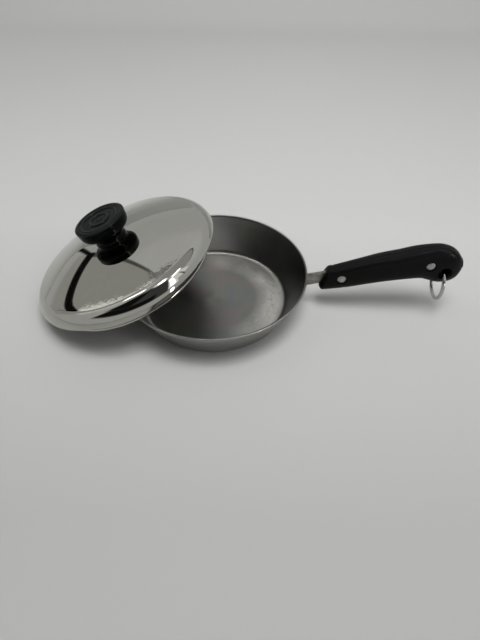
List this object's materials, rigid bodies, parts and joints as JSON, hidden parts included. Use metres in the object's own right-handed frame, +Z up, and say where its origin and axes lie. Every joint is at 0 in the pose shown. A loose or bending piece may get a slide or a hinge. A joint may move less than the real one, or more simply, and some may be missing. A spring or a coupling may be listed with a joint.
{
  "type": "frying pan with lid",
  "caption": "Small steel frying pan with a flared wall, a riveted black side handle with a hanging ring, and a domed lid with a black knob that leans on the rim.",
  "frame": {"origin": "centre of the pan's base, on the table", "axes": "+X along the handle, away from the pan; +Z up"},
  "size_m": [0.4005, 0.1895, 0.0945],
  "materials": {
    "satin_steel": "satin",
    "dull_steel": "dull",
    "polished_steel": "mirror polished",
    "grip_black": "moulded phenolic, satin",
    "knob_black": "moulded phenolic, glossy",
    "rivet": "dull",
    "insert": "machined"
  },
  "bodies": {
    "pan": {"pan_body": "satin_steel", "handle_tang": "dull_steel", "front_handle_half": "grip_black", "rear_handle_half": "grip_black", "handle_rivets": "rivet"},
    "ring": {"hanging_ring": "polished_steel"},
    "lid": {"lid_shell": "polished_steel", "lid_knob": "knob_black", "knob_insert": "insert", "knob_screw": "dull_steel", "knob_washer": "dull_steel"}
  },
  "joints": [
    {"name": "ring_swing", "type": "hinge", "parent": "pan", "child": "ring", "pos_m": [0.21159, 0, 0.04831], "axis": [0, 1, 0], "range_deg": [-85, 70]},
    {"name": "lid_lift", "type": "slide", "parent": "pan", "child": "lid", "axis": [0, 0, 1], "range_m": [0, 0.15]}
  ]
}
